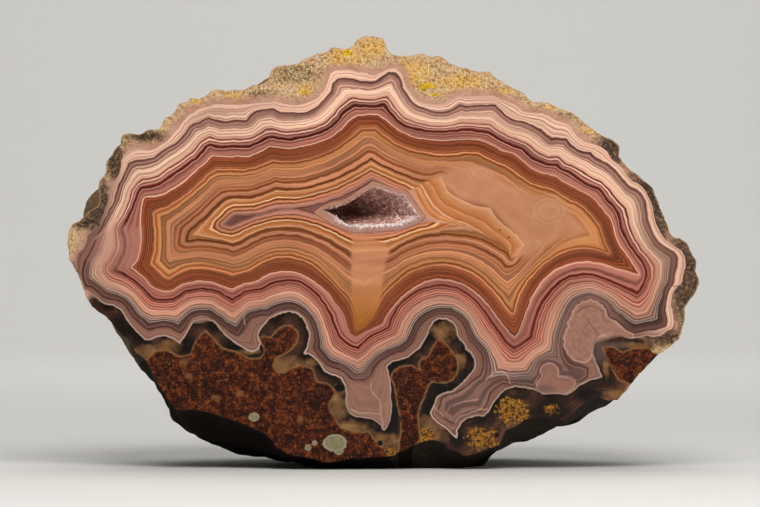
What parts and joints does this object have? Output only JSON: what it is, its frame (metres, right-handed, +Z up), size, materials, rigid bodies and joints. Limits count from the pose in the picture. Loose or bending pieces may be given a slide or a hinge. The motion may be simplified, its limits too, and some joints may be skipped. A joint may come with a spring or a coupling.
{
  "type": "banded agate nodule half",
  "caption": "Sawn and polished half of a banded agate nodule with a quartz-lined hollow and host rock, standing on a small flat spot.",
  "frame": {"origin": "middle of the flat spot that the stone stands on", "axes": "+X along the polished face to its right as seen from the front, +Y from the polished face to the natural back, +Z up"},
  "size_m": [0.1053, 0.0465, 0.0723],
  "materials": {
    "chalcedony": "sawn and polished face, natural knobbly skin behind it",
    "lava_rock": "sawn flush in front, rough and weathered behind",
    "quartz": "small glassy crystal points"
  },
  "bodies": {
    "root": {"agate": "chalcedony", "host_rock": "lava_rock", "quartz_crust": "quartz"}
  },
  "joints": []
}
